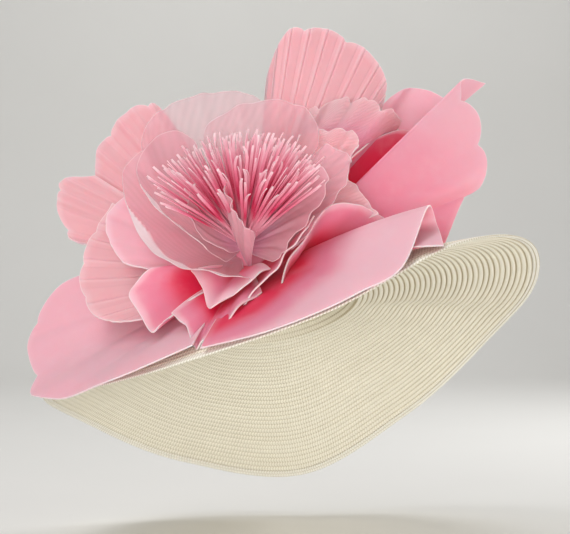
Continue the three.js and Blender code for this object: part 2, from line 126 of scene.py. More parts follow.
PETALS = {
    "smooth_back": Petal(
        "smooth", folds=3, fold=1.5, flush=(0.45, 0.45),
        root=(38, 22, -38), belly=-6,
        clock=(30, 36, 43, 47, 49),
        reach=(275, 325, 320, 300, 265),
        rise=(-70, -30, -12, -12, -20),
    ),
    "smooth_right": Petal(
        "smooth", notches=(0.23, 0.57, 0.76), notch=0.04, folds=2.2, fold=4.0,
        flush=(0.85, 0.6, 0.42, 0.4, 0.4), fade=1.2, root=(15, 22, -28), belly=6,
        clock=(5, 14, 16, 20, 25, 30, 30),
        reach=(205, 245, 275, 295, 310, 312, 345),
        rise=(-65, -50, -45, -30, 0, 35, 10),
    ),
    "ribbed_top": Petal(
        "ribbed", ribs=12, crisp=1.0, notches=(0.42, 0.6, 0.9), notch=0.03, flush=(0.2, 0.2),
        root=(58, 22, -18), belly=-4,
        clock=(44, 46, 52, 60, 68, 73, 74),
        reach=(250, 280, 295, 298, 285, 245, 210),
        rise=(5, 25, 50, 70, 80, 55, 35),
    ),
    "deep_right": Petal(
        "pink", flush=(1.3, 1.15), fade=1.0, root=(27, 22, -20), belly=-5,
        clock=(33, 37, 39, 39, 37),
        reach=(260, 255, 220, 185, 160),
        rise=(-35, -12, 2, 9, 14),
    ),
    "ribbed_upper_left": Petal(
        "ribbed", ribs=8, crisp=0.35, notches=(0.3, 0.62), notch=0.03, fold=2.0,
        flush=(0.25, 0.25), root=(112, 22, -14), belly=-4,
        clock=(102, 106, 116, 125, 135),
        reach=(185, 228, 235, 230, 205),
        rise=(30, 60, 55, 40, 20),
    ),
    "ribbed_left": Petal(
        "ribbed", ribs=6, crisp=0.3, notches=(0.33, 0.67), notch=0.03, fold=2.0,
        flush=(0.25, 0.25), root=(145, 22, -10), belly=-4,
        clock=(134, 141, 147, 154, 156),
        reach=(200, 228, 220, 200, 175),
        rise=(40, 45, 30, 15, 10),
    ),
    "ribbed_lower_left": Petal(
        "ribbed", ribs=8, crisp=0.8, notches=(0.2, 0.4, 0.6, 0.8), notch=0.025, fold=1.5,
        root=(168, 22, -6), belly=-4,
        clock=(143, 157, 172, 188, 204),
        reach=(155, 168, 175, 162, 120),
        rise=(40, 25, 10, -5, 5),
    ),
    "smooth_left": Petal(
        "smooth", notches=(0.25, 0.5), notch=0.03, ruffle=0.8, folds=4, fold=2.2,
        flush=(-0.1, 0.4), root=(215, 22, -16), belly=6,
        clock=(156, 161, 170, 176, 187, 195, 206, 221, 243),
        reach=(155, 215, 245, 251, 248, 252, 229, 190, 145),
        rise=(-15, -35, -55, -62, -57, -46, -20, 15, 40),
    ),
    "smooth_front": Petal(
        "smooth", folds=2, fold=0.8, flush=(1.0, 0.64, 0.43, 0.75), fade=0.4,
        root=(300, 20, -4), belly=6,
        clock=(247, 270, 289, 304, 319, 352, 352, 331),
        reach=(150, 150, 155, 170, 185, 187, 195, 210),
        rise=(42, 55, 60, 65, 65, 40, 10, 58),
    ),
    "crepe_upper_right": Petal(
        "pink", notches=(0.2, 0.4, 0.6, 0.8), notch=0.04, ruffle=2.2, waves=7, jag=0.008,
        folds=6, flush=(0.75, 0.55), root=(48, 22, -8), belly=-4,
        clock=(41, 40, 39, 45, 51, 57, 61),
        reach=(226, 260, 248, 240, 228, 205, 185),
        rise=(-10, -18, 18, 30, 35, 38, 40),
    ),
    "soft_left": Petal(
        "pink", ruffle=1.6, waves=4, jag=0.006, flush=(0.4, 0.4),
        root=(162, 20, 2), belly=0,
        clock=(140, 152, 163, 175, 188),
        reach=(138, 147, 138, 120, 88),
        rise=(50, 47, 38, 30, 28),
    ),
    "cupped_right": Petal(
        "pink", ruffle=1.4, waves=3, jag=0.006, flush=(1.15, 0.9, 0.78),
        root=(345, 22, -14), belly=-10,
        clock=(285, 300, 328, 355, 363, 364, 361),
        reach=(87, 68, 65, 84, 108, 130, 150),
        rise=(26, 33, 41, 47, 43, 25, 3),
    ),
    "crepe_right": Petal(
        "pink", notches=(0.25, 0.5, 0.75), notch=0.04, ruffle=2.2, waves=7, jag=0.008,
        folds=6, flush=(0.4, 0.4), root=(35, 20, 2), belly=-4,
        clock=(2, 15, 29, 34, 41, 49, 54),
        reach=(140, 133, 142, 175, 175, 160, 142),
        rise=(15, 28, 36, 38, 44, 48, 50),
    ),
    "ruffled_left": Petal(
        "pink", ruffle=3.0, waves=2.5, jag=0.012, folds=3, fold=1.5, flush=(0.8, 0.8),
        root=(222, 20, 0), belly=4,
        clock=(188, 190, 197, 217, 220, 226),
        reach=(65, 100, 124, 133, 115, 78),
        rise=(30, 37, 32, 20, 25, 26),
    ),
    "ruffled_front_left": Petal(
        "pink", ruffle=3.0, waves=3, jag=0.012, folds=3, flush=(0.9, 0.9),
        root=(250, 20, 4), belly=4,
        clock=(222, 235, 244, 249, 257, 276),
        reach=(110, 122, 142, 130, 107, 77),
        rise=(33, 34, 34, 37, 38, 34),
    ),
    "ruffled_front": Petal(
        "pink", ruffle=2.5, waves=3, jag=0.008, flush=(0.95, 0.95),
        root=(296, 20, 8), belly=-2,
        clock=(253, 265, 284, 307, 331, 349),
        reach=(100, 86, 71, 62, 65, 78),
        rise=(29, 36, 41, 44, 48, 52),
    ),
    "pointed_front": Petal(
        "pink", ruffle=2.5, waves=2.5, jag=0.01, flush=(0.6, 0.6),
        root=(262, 20, 14), belly=4,
        clock=(206, 227, 243, 254, 271, 292),
        reach=(62, 70, 97, 82, 67, 56),
        rise=(32, 33, 35, 40, 40, 36),
    ),
    "organza_top": Petal(
        "organza", ruffle=1.4, waves=4, jag=0.005, folds=4, fold=1.4,
        root=(90, 16, 10), belly=-8,
        clock=(67, 79, 90, 101, 112, 124),
        reach=(176, 180, 180, 178, 173, 165),
        rise=(70, 78, 84, 87, 84, 75),
    ),
    "organza_inner_top": Petal(
        "organza", ruffle=2.0, waves=3, jag=0.005, folds=4, fold=1.6,
        root=(70, 14, 16), belly=-6,
        clock=(44, 57, 71, 85, 98),
        reach=(160, 170, 166, 152, 142),
        rise=(52, 66, 75, 75, 75),
    ),
    "organza_left": Petal(
        "organza", ruffle=2.0, waves=4, jag=0.005, folds=5, fold=1.8, hem=(0.3, 0.95),
        root=(190, 8, 18), belly=-8,
        clock=(120, 136, 154, 180, 212, 244, 272),
        reach=(163, 147, 116, 90, 70, 65, 75),
        rise=(87, 67, 57, 48, 50, 52, 50),
    ),
    "organza_inner_left": Petal(
        "organza", ruffle=2.0, waves=4, jag=0.005, folds=5, fold=1.8, hem=(0.45, 0.9),
        root=(170, 6, 26), belly=-8,
        clock=(100, 114, 131, 145, 165, 203, 244),
        reach=(140, 140, 130, 104, 68, 46, 50),
        rise=(84, 88, 81, 74, 70, 64, 55),
    ),
    "organza_right": Petal(
        "organza", ruffle=2.0, waves=3, jag=0.005, folds=6, fold=3.0,
        root=(0, 8, 22), belly=-6,
        clock=(320, 348, 369, 382, 394, 402),
        reach=(70, 85, 116, 136, 133, 118),
        rise=(49, 56, 58, 59, 60, 57),
    ),
    "organza_veil_front": Petal(
        "organza", ruffle=1.5, waves=3, jag=0.01, folds=4, fold=2.5,
        root=(270, 18, 12), belly=-4,
        clock=(90, 262, 270, 277, 284, 298),
        reach=(5, 11, 22, 33, 41, 41),
        rise=(120, 111, 103, 92, 82, 77),
    ),
    "organza_veil_left": Petal(
        "organza", ruffle=2.0, waves=2, jag=0.008, folds=4, fold=2.0,
        root=(200, 5, 30), belly=-4,
        clock=(112, 136, 171, 212, 247),
        reach=(64, 54, 45, 40, 42),
        rise=(80, 77, 72, 67, 61),
    ),
    "organza_veil_right": Petal(
        "organza", ruffle=2.0, waves=2, jag=0.008, folds=6, fold=3.0,
        root=(330, 5, 28), belly=-4,
        clock=(296, 318, 353, 375, 379),
        reach=(64, 64, 87, 100, 77),
        rise=(47, 56, 68, 75, 70),
    ),
}
# Half a petal's width at its root and the ribs' height in millimetres, and how wide a notch is as
# a share of the edge.
ROOT_HALF, RIB_HEIGHT, NOTCH_SPREAD = 9.0, 1.1, 0.035

# How finely a petal is drawn from its root to its edge, across each rib, and across the others.
SHEET_ROWS, RIB_COLUMNS, COLUMNS, PINK_COLUMNS = 30, 26, 96, 80
SHEET_VALUES = ("out", "edge", "along", "ray", "hem", "tone", "crease")


def linear(code):
    """A web colour such as 0xF0A0B0 as linear red, green and blue."""
    shares = [((code >> shift) & 255) / 255 for shift in (16, 8, 0)]
    return tuple(s / 12.92 if s <= 0.04045 else ((s + 0.055) / 1.055) ** 2.4 for s in shares)


def size_property(label, text, default):
    return FloatProperty(
        name=label, description=text, default=default, min=0, precision=5, unit="LENGTH"
    )


def colour_property(label, text, code):
    return FloatVectorProperty(
        name=label, description=text, default=linear(code), subtype="COLOR", min=0, max=1
    )


def colours(looks, *names):
    return [tuple(getattr(looks, name)) for name in names]


def lighter(colour, share):
    """A colour moved towards white by a share."""
    return tuple(c + (1 - c) * share for c in colour)


class StrawSettings(bpy.types.PropertyGroup):
    """Sizes and colours of the sewn straw braid."""

    rows: IntProperty(name="Brim rows", description="Rows of braid across the brim", default=33)
    relief: size_property("Relief", "How far each row of braid swells", 0.0015)
    plait: size_property("Plait", "Length of one crossing of the plaited straw", 0.0035)
    straw: colour_property("Straw", "The ivory straw", 0xFAF4E2)
    # Painted shade: the colour that the straw darkens to in the grooves and between the strands.
    shade: colour_property("Grooves", "Straw in the grooves and between strands", 0xB5A47E)
    edge: colour_property("Rim", "The paler braid round the rim", 0xFAF6EA)


class PetalSettings(bpy.types.PropertyGroup):
    """Sizes and colours of the flower's petals and core."""

    foam: size_property("Foam", "Thickness of the sheet foam", 0.0015)
    organza: size_property("Organza", "Thickness of the organza with its stiffening", 0.0006)
    tip: colour_property("Tip", "Foam near the free edge", 0xEFB1BD)
    ribbed_tip: colour_property("Ribbed tip", "Ribbed foam near the free edge", 0xE8AEB4)
    middle: colour_property("Middle", "Foam half way out", 0xE8839C)
    root: colour_property("Root", "Foam deep in the flower", 0xE8244F)
    # The cut edge's pale colour, also laid on the face next to the edge as a painted edge
    # highlight.
    cut: colour_property("Cut edge", "The pale cut edge of the foam", 0xF9DFDF)
    sheer: colour_property("Sheer", "The organza", 0xFCBAC4)
    heart: colour_property("Heart", "The organza veils where they are gathered", 0xEEABC6)
    core: colour_property("Core", "The covered foam core", 0xE8809A)


class StamenSettings(bpy.types.PropertyGroup):
    """Sizes and colours of the stamens."""

    count: IntProperty(name="Stamens", description="How many strips stand up", default=200)
    length: size_property("Length", "Length of the longest strip", 0.111)
    width: size_property("Width", "Width of a strip", 0.0029)
    thick: size_property("Thickness", "Thickness of a strip", 0.0008)
    strip: colour_property("Strip", "The strips", 0xF0809E)
    base: colour_property("Base", "The strips where they leave the button", 0xF4B2C2)
    # Painted shadow: the deep pink that some strips take, for the shade between the strips.
    deep: colour_property("Deep", "The strips deep in the flower", 0xD92E60)
    tip: colour_property("Tip", "The pale cut tips", 0xF9D6DC)


class StageSettings(bpy.types.PropertyGroup):
    """The floor, the lights and the camera."""

    floor: colour_property("Floor", "The plain pale floor", 0xE0DFDC)
    floor_height: FloatProperty(
        name="Floor height", description="Height of the floor", default=-0.262, unit="LENGTH"
    )
    distance: size_property("Camera distance", "From the hat's middle to the camera", 1.5)
    lens: FloatProperty(name="Lens", description="Focal length in mm", default=83.8)
    key: FloatProperty(name="Key light", description="Power in watts", default=8.0)
    fill: FloatProperty(name="Fill light", description="Power in watts", default=19.5)
    backdrop: FloatProperty(name="Backdrop light", description="Power in watts", default=30.0)
    sky: FloatProperty(name="Room light", description="Strength of the room", default=0.3)


def turn(axis, degrees):
    """A rotation matrix about one of the axes x, y, z."""
    c, s = math.cos(math.radians(degrees)), math.sin(math.radians(degrees))
    rows = {
        "x": ((1, 0, 0), (0, c, -s), (0, s, c)),
        "y": ((c, 0, s), (0, 1, 0), (-s, 0, c)),
        "z": ((c, -s, 0), (s, c, 0), (0, 0, 1)),
    }
    return np.array(rows[axis], float)


HAT_TURN = turn("y", -ROLL) @ turn("x", PITCH) @ turn("z", YAW)
RIGHTWARD, _, UPRIGHT = turn("y", -ROLL).T
AXIS = math.sin(math.radians(FLOWER_LEAN)) * UPRIGHT
AXIS = AXIS - np.array((0.0, math.cos(math.radians(FLOWER_LEAN)), 0.0))
FLOWER_TURN = np.stack((RIGHTWARD, np.cross(AXIS, RIGHTWARD), AXIS), axis=1)


def from_hat(points):
    """Points of the hat's own frame, placed in the row's frame."""
    return points @ HAT_TURN.T


def from_flower(points):
    """Points of the flower's own frame, placed in the row's frame."""
    return points @ FLOWER_TURN.T + np.array(FLOWER_MIDDLE)


def between(a, b, c, d, t):
    """A smooth line from b to c, with a before them and d after them."""
    return b + 0.5 * t * (c - a + t * (2 * a - 5 * b + 4 * c - d + t * (3 * (b - c) + d - a)))


def spline(knots, place):
    """Points at shares of the way along a smooth line through the knots."""
    padded = np.array((2 * knots[0] - knots[1], *knots, 2 * knots[-1] - knots[-2]))
    spans = len(knots) - 1
    first = np.clip(np.floor(place * spans).astype(int), 0, spans - 1)
    t = (place * spans - first)[:, None]
    return between(*(padded[first + step] for step in range(4)), t)


def cyclic(values, place):
    """Values at places round a table that closes on itself."""
    table = np.array(values, float)
    first = np.floor(place).astype(int)
    t = place - first
    return between(*(table[(first + step) % len(table)] for step in (-1, 0, 1, 2)), t)


def station(clock, reach, rise):
    """Points, in metres, from their clock, reach and rise in the flower's frame."""
    angle = np.radians(np.asarray(clock, float))
    reach, rise = np.asarray(reach, float) * MM, np.asarray(rise, float) * MM
    return np.stack((reach * np.cos(angle), reach * np.sin(angle), rise), axis=-1)


def unit(vector):
    return vector / np.linalg.norm(vector, axis=-1, keepdims=True)


def normals(points, ring=False):
    """The normal of a grid of points: rows run outward, columns across."""
    if ring:
        across = np.roll(points, -1, axis=1) - np.roll(points, 1, axis=1)
    else:
        across = np.gradient(points, axis=1)
    return unit(np.cross(np.gradient(points, axis=0), across))


def cells(places, flip=False):
    """The four corners of each cell of a grid of places."""
    a, b, c, d = places[:-1, :-1], places[1:, :-1], places[1:, 1:], places[:-1, 1:]
    return np.stack((a, d, c, b) if flip else (a, b, c, d), -2).reshape(-1, 4, places.shape[-1])


def grid_places(*counts):
    return np.stack(np.meshgrid(*map(np.arange, counts), indexing="ij"), -1)


def skin(points, above, below, ring=False):
    """Vertices and quads of a closed skin round a grid, with one height for each face and the
    grid place of each corner of each quad."""
    rows, cols = points.shape[:2]
    normal = normals(points, ring)
    top = points + normal * np.broadcast_to(above, (rows, cols))[:, :, None]
    under = points - normal * np.broadcast_to(below, (rows, cols))[:, :, None]
    vertices = np.concatenate((top.reshape(-1, 3), under.reshape(-1, 3)))
    grid = grid_places(rows, cols + 1 if ring else cols, 2)
    faces = [
        cells(grid[:, :, 0]), cells(grid[:, :, 1], True), cells(grid[0]), cells(grid[-1], True)
    ]
    if not ring:
        faces += [cells(grid[:, 0], True), cells(grid[:, -1])]
    places = np.concatenate(faces)
    row, col, side = np.moveaxis(places, -1, 0)
    return vertices, row * cols + col % cols + side * rows * cols, places


def add_object(name, data):
    thing = bpy.data.objects.new(name, data)
    bpy.context.scene.collection.objects.link(thing)
    return thing


def add_piece(name, vertices, faces, material, node, values=None, uv=None, sharp=40):
    """A finished piece: its mesh, its smooth shading with sharp cut edges, its material, and
    the solid that it stands for."""
    mesh = bpy.data.meshes.new(name)
    mesh.from_pydata(np.asarray(vertices).tolist(), [], [list(map(int, f)) for f in faces])
    for key, value in (values or {}).items():
        attribute = mesh.attributes.new(key, "FLOAT", "POINT")
        attribute.data.foreach_set("value", np.asarray(value, np.float32).ravel())
    if uv is not None:
        layer = mesh.uv_layers.new(name="rows")
        layer.data.foreach_set("uv", np.asarray(uv, np.float32).ravel())
    if mesh.validate():
        raise RuntimeError(f"{name} has broken faces")
    mesh.shade_smooth()
    mesh.set_sharp_from_angle(angle=math.radians(sharp))
    mesh.materials.append(material)
    piece = add_object(name, mesh)
    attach(piece, "root")
    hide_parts(node)
    return piece


class Wire:
    """A value inside a material, with arithmetic that adds the math nodes."""

    def __init__(self, graph, socket):
        self.graph = graph
        self.socket = socket

    def math(self, operation, other=0.0):
        return self.graph.math(operation, self, other)

    def __add__(self, other):
        return self.math("ADD", other)

    def __sub__(self, other):
        return self.math("SUBTRACT", other)

    def __mul__(self, other):
        return self.math("MULTIPLY", other)

    def __truediv__(self, other):
        return self.math("DIVIDE", other)

    def __pow__(self, other):
        return self.math("POWER", other)

    __radd__ = __add__
    __rmul__ = __mul__

    def __rsub__(self, other):
        return self.graph.math("SUBTRACT", other, self)

    def floor(self):
        return self.math("FLOOR")

    def fraction(self):
        return self.math("FRACT")

    def size(self):
        return self.math("ABSOLUTE")

    def wave(self):
        """A sine with a period of one."""
        return (self * math.tau).math("SINE")

    def smooth(self, low, high):
        """Zero below low, one above high and a soft step in between."""
        limits = {"From Min": low, "From Max": high}
        node = self.graph.add("ShaderNodeMapRange", Value=self, **limits)
        node.interpolation_type = "SMOOTHSTEP"
        return Wire(self.graph, node.outputs["Result"])


class Graph:
    """A new material with one main shader, and short calls for its nodes."""

    def __init__(self, name):
        self.material = bpy.data.materials.new(name)
        self.material.use_nodes = True
        self.tree = self.material.node_tree
        self.tree.nodes.clear()
        self.shader = self.add("ShaderNodeBsdfPrincipled")
        output = self.add("ShaderNodeOutputMaterial")
        self.tree.links.new(self.shader.outputs["BSDF"], output.inputs["Surface"])

    def add(self, kind, **inputs):
        """A new node, with inputs that are set or linked."""
        node = self.tree.nodes.new(kind)
        for key, value in inputs.items():
            self.feed(node.inputs[key], value)
        return node

    def feed(self, socket, value):
        if isinstance(value, Wire):
            self.tree.links.new(value.socket, socket)
        elif hasattr(value, "__len__") and len(value) == 3 and socket.type == "RGBA":
            socket.default_value = (*value, 1.0)
        else:
            socket.default_value = value

    def set(self, **values):
        """Sets or links the main shader's sockets, named with _ for a space."""
        for key, value in values.items():
            self.feed(self.shader.inputs[key.replace("_", " ").title()], value)

    def math(self, operation, *values):
        node = self.add("ShaderNodeMath")
        node.operation = operation
        for socket, value in zip(node.inputs, values):
            self.feed(socket, value)
        return Wire(self, node.outputs["Value"])

    def value(self, name):
        node = self.add("ShaderNodeAttribute")
        node.attribute_name = name
        return Wire(self, node.outputs["Fac"])

    def rows(self):
        """The turns round the hat and the length along the straw."""
        node = self.add("ShaderNodeUVMap")
        node.uv_map = "rows"
        parts = self.add("ShaderNodeSeparateXYZ", Vector=Wire(self, node.outputs["UV"]))
        return Wire(self, parts.outputs["X"]), Wire(self, parts.outputs["Y"])

    def noise(self, scale, detail=2.0):
        """Noise round 0.5, from each point's place in the row's frame."""
        place = Wire(self, self.add("ShaderNodeTexCoord").outputs["Object"])
        node = self.add("ShaderNodeTexNoise", Scale=scale, Detail=detail, Vector=place)
        return Wire(self, node.outputs["Fac"])

    def chance(self, value):
        """A random number from 0 to 1 for each whole value."""
        node = self.add("ShaderNodeTexWhiteNoise")
        node.noise_dimensions = "1D"
        self.feed(node.inputs["W"], value)
        return Wire(self, node.outputs["Value"])

    def ramp(self, value, stops):
        """A colour from stops of (place, colour)."""
        node = self.add("ShaderNodeValToRGB")
        node.color_ramp.interpolation = "EASE"
        points = node.color_ramp.elements
        while len(points) < len(stops):
            points.new(0.5)
        for point, (place, colour) in zip(points, stops):
            point.position = place
            point.color = (*colour, 1.0)
        self.feed(node.inputs["Fac"], value)
        return Wire(self, node.outputs["Color"])

    def mix(self, share, low, high):
        """A colour between two, by a share."""
        node = self.add("ShaderNodeMix")
        node.data_type = "RGBA"
        sockets = [s for s in node.inputs if s.enabled]
        for socket, value in zip(sockets, (share, low, high)):
            self.feed(socket, value)
        return Wire(self, next(s for s in node.outputs if s.enabled))

    def bump(self, height, depth, strength):
        node = self.add("ShaderNodeBump", Strength=strength, Distance=depth, Height=height)
        self.set(normal=Wire(self, node.outputs["Normal"]))


def straw_material(name, pitch, girth, girth_step, least, pale=None):
    """Sewn braid: rows of plaited straw with a chevron of strands, painted shade between the
    strands and in the grooves between the rows, strongest on the right where light rakes across
    the rows, and a tint of its own for each row. girth is the first row's, and girth_step the
    change a row."""
    looks = bpy.context.scene.hat_straw
    graph = Graph(name)
    turns, depth = graph.rows()
    row = (depth / pitch).floor()
    across = ((depth / pitch).fraction() - 0.5).size()
    count = ((row * girth_step + girth).math("MAXIMUM", least) / looks.plait).floor()
    phase = turns * count + row * 0.37
    strand = ((phase + across * 0.9).wave() * 0.5 + 0.5) ** 0.6
    groove = across.smooth(0.22, 0.5)
    tint = graph.chance(row) * 0.08 + graph.noise(60.0) * 0.12
    # Painted shade: towards the right of the hat the grooves take more shade and the strands
    # less, as where light rakes across the rows.
    raking_light_share = ((turns + 0.25).wave() * 0.5 + 0.5) ** 3
    shade = (1 - strand) * (0.5 - raking_light_share * 0.3) + groove * (raking_light_share * 0.6 + 0.15) + tint
    base = pale or tuple(looks.straw)
    # Painted shade darkens the grooves and strand gaps; the tint is the straw's own.
    colour = graph.mix(shade.smooth(0.05, 1.15), base, tuple(looks.shade))
    graph.set(base_color=colour, roughness=(1 - strand) * 0.2 + 0.55)
    fibre = graph.noise(1500.0) * 0.2
    graph.bump(strand * 0.7 + (1 - groove) * 0.5 + fibre, 0.00035, 0.8)
    return graph.material


def foam_material(name, tip, middle, root, margin, crimp=0.0):
    """Sheet foam that pales from its deep root to its free edge, the deep pink partly dye and
    partly painted shade, with a whitish cut edge widened by a painted edge highlight, a fine
    grain, a little mottling, painted shade in the rib grooves with a painted highlight on their
    lips and, where crimp is set, fine lines. margin is how much the last 10 mm pale."""
    looks = bpy.context.scene.hat_petals
    graph = Graph(name)
    # The deep pink towards the root is partly the foam's own dye and partly painted shade, by the
    # tone that each petal's chart sets.
    tone = graph.value("tone") + (graph.noise(14.0) - 0.5) * 0.22
    colour = graph.ramp(tone, [(0.0, root), (0.5, middle), (1.0, tip)])
    mottle = graph.noise(45.0, 3.0)
    paler = lighter(tip, 0.3)
    colour = graph.mix(mottle.smooth(0.45, 0.85) * 0.15, colour, paler)
    # Painted shade darkens the rib grooves and a painted highlight pales their lips.
    crease = graph.value("crease")
    painted_groove_shade = tuple(c * 0.8 for c in middle)
    colour = graph.mix(crease.math("MAXIMUM", 0.0) * 0.8, colour, painted_groove_shade)
    colour = graph.mix(crease.math("MINIMUM", 0.0) * -0.5, colour, paler)
    border = 1 - (graph.value("edge") + (graph.noise(60.0) - 0.5) * 8 * MM).smooth(0, 10 * MM)
    colour = graph.mix(border * margin, colour, paler)
    # Whitish cut edge, widened onto the face as a painted edge highlight.
    edge = 1 - graph.value("edge").smooth(0.2 * MM, 1.0 * MM)
    colour = graph.mix(edge * 0.8, colour, tuple(looks.cut))
    graph.set(base_color=colour, roughness=mottle * 0.2 + 0.4)
    graph.set(sheen_weight=0.1, sheen_roughness=0.4)
    graph.set(subsurface_weight=0.6, subsurface_radius=(1.0, 0.3, 0.4), subsurface_scale=0.006)
    grain = graph.noise(1100.0, 1.0) * 0.25 + graph.noise(90.0, 2.0) * 0.8
    if crimp:
        lines = (graph.value("along") * crimp + graph.noise(30.0) * 0.8).wave() * 0.5
        grain = grain + lines * 0.9
    graph.bump(grain, 0.0004, 0.7)
    return graph.material


def organza_material(name, deep, cover):
    """Sheer stiff organza: a fine open weave that lets most light through, with denser threads
    along the edge, a doubled hem, and soft streaks along the cloth. cover is how much of the
    light its plain weave stops."""
    looks = bpy.context.scene.hat_petals
    graph = Graph(name)
    along, out = graph.value("along"), graph.value("ray")
    weave = (along * 900.0).wave() * 0.25 + (out * 900.0).wave() * 0.25 + 0.5
    streak = (along * 90.0 + graph.noise(12.0) * 1.5).wave() * 0.5 + 0.5
    edge = 1 - graph.value("edge").smooth(0.5 * MM, 1.2 * MM)
    hem = graph.value("hem")
    alpha = weave * 0.07 + streak * 0.03 + edge * 0.12 + hem * 0.5 + cover
    graph.set(alpha=alpha.math("MINIMUM", 0.94))
    root = 1 - graph.value("out").smooth(0.1, 0.6)
    paler = lighter(looks.sheer, 0.6)
    colour = graph.mix(root * 0.8, tuple(looks.sheer), deep)
    colour = graph.mix((edge * 0.5 + hem * 0.9).math("MINIMUM", 1.0), colour, paler)
    graph.set(base_color=colour, roughness=streak * 0.15 + 0.35)
    graph.set(sheen_weight=0.25, sheen_roughness=0.3)
    graph.set(subsurface_weight=0.8, subsurface_radius=(1.0, 0.7, 0.75), subsurface_scale=0.003)
    graph.bump(weave * 0.3 + streak * 0.25, 0.0005, 0.6)
    return graph.material


def stamen_material():
    """Thin foam strips, pale at the button and paler again further up, with whitish cut tips. On
    some strips the deep pink above the button is painted shadow, for the shade between strips."""
    looks = bpy.context.scene.hat_stamens
    graph = Graph("stamens")
    out = graph.value("out")
    strip, base, deep, tip = colours(looks, "strip", "base", "deep", "tip")
    paler = lighter(strip, 0.35)
    own = graph.chance(graph.value("strip"))
    place = out + own * 0.06 - 0.04
    ends = [(0.92, paler), (0.97, tip)]
    # Painted shadow: strips with a low own number take the deep pink ramp, inner, for the shade
    # between the strips; the rest take outer.
    inner = graph.ramp(place, [(0.3, base), (0.5, deep), (0.75, strip), *ends])
    outer = graph.ramp(place, [(0.3, base), (0.6, strip), *ends])
    graph.set(base_color=graph.mix(own.smooth(0.35, 0.6), inner, outer))
    graph.set(roughness=own * 0.15 + 0.4)
    graph.bump(graph.noise(700.0), 0.0002, 0.6)
    return graph.material


def core_material():
    """Plain covered foam with a fine pebbled grain."""
    looks = bpy.context.scene.hat_petals
    graph = Graph("core_foam")
    mottle = graph.noise(60.0, 3.0)
    graph.set(base_color=graph.mix(mottle, tuple(looks.core), lighter(looks.core, 0.2)))
    graph.set(roughness=mottle * 0.2 + 0.6)
    graph.bump(graph.noise(500.0), 0.0004, 0.7)
    return graph.material


def brim_points(share, bearings):
    """The brim's middle surface, in the hat's frame, at shares of its width."""
    place = bearings / math.tau * len(RIM_SLOPE)
    join, rim = np.radians(cyclic(JOIN_SLOPE, place)), np.radians(cyclic(RIM_SLOPE, place))
    cos, sin = np.cos(bearings), np.sin(bearings)
    start = np.stack((HALF_WIDTH * cos, HALF_DEPTH * sin, 0 * cos), -1)
    out = unit(np.stack((cos / HALF_WIDTH, sin / HALF_DEPTH, 0 * cos), -1))
    steps = 12
    width = BRIM_WIDTH * share[:, None] / steps
    level = np.zeros((len(share), len(bearings)))
    drop = np.zeros_like(level)
    for step in range(steps):
        slope = join + (rim - join) * share[:, None] * ((step + 0.5) / steps)
        level += width * np.cos(slope)
        drop += width * np.sin(slope)
    points = start + out * level[:, :, None]
    away = (np.degrees(bearings) - FOLD_BEARING) / FOLD_SPREAD
    lift = FOLD_LIFT * np.outer(np.sin(math.pi * share), np.exp(-(away**2)))
    points[:, :, 2] += drop + lift
    return points


def row_relief(depth, pitch, height):
    """How far a row of braid stands out: rounded, and lapped over the next row."""
    share = (depth / pitch) % 1.0
    rounded = 1 - np.abs(2 * share - 1) ** 2.4
    return height * rounded + 0.4 * height * (share - 0.5)


def row_samples(count, pitch):
    """Depths along the straw, four for each row, closest where a row meets the next."""
    inside = np.array((0.0, 0.12, 0.5, 0.88))
    places = (np.arange(count)[:, None] + inside).ravel()
    return np.append(places, count) * pitch


def bearings_of(count):
    """Even bearings once round, in radians."""
    return np.arange(count) / count * math.tau


def row_uv(places, count, depths):
    """The turn and the depth of each corner of each quad."""
    return np.stack((places[:, :, 1] / count, depths[places[:, :, 0]]), axis=-1)


def make_brim():
    looks = bpy.context.scene.hat_straw
    inner = 3 * GAP
    width = BRIM_WIDTH - BAND_WIDTH - GAP - inner
    pitch = width / looks.rows
    depths = row_samples(looks.rows, pitch)
    around = 320
    bearings = bearings_of(around)
    points = brim_points((depths + inner) / BRIM_WIDTH, bearings)
    swell = 0.4 + 0.9 * (0.5 + 0.5 * np.cos(bearings)) ** 3
    relief = row_relief(depths, pitch, looks.relief)[:, None] * swell
    least = 0.0005
    above, below = least + relief * 0.7, least + relief
    vertices, quads, places = skin(from_hat(points), above, below, ring=True)
    material = straw_material("straw_brim", pitch, OPENING_GIRTH, math.tau * pitch, 0.0)
    uv = row_uv(places, around, depths)
    add_piece("straw_brim", vertices, quads, material, "brim", uv=uv, sharp=80)


def make_rim_band():
    """Two rounded rows of braid stitched together round the rim, one above the other edge."""
    looks = bpy.context.scene.hat_straw
    around = 400
    turns = 20
    angle = np.arange(turns) / turns * math.tau
    half = BAND_WIDTH / 2
    along = half * np.sign(np.cos(angle)) * np.abs(np.cos(angle)) ** 0.85
    high = 0.0013 * np.sin(angle) * (1 - 0.55 * np.exp(-((along / 0.0011) ** 2)))
    share = (BRIM_WIDTH - half + along) / BRIM_WIDTH
    bearings = bearings_of(around)
    line = np.linspace(1 - BAND_WIDTH / BRIM_WIDTH, 1, 5)
    surface = brim_points(line, bearings)
    normal = normals(surface, ring=True)[2]
    middle = brim_points(np.clip(share, 0, 1), bearings)
    loop = from_hat(middle + normal[None] * high[:, None, None])
    vertices = loop.reshape(-1, 3)
    places = cells(grid_places(turns + 1, around + 1), True)
    quads = places[:, :, 0] % turns * around + places[:, :, 1] % around
    depths = np.append(along, along[0]) + half
    girth = OPENING_GIRTH + math.tau * BRIM_WIDTH
    material = straw_material("straw_rim", half, girth, 0.0, 0.0, tuple(looks.edge))
    uv = row_uv(places, around, depths)
    add_piece(
        "straw_rim_band", vertices, quads, material, "brim_edge", uv=uv, sharp=80
    )


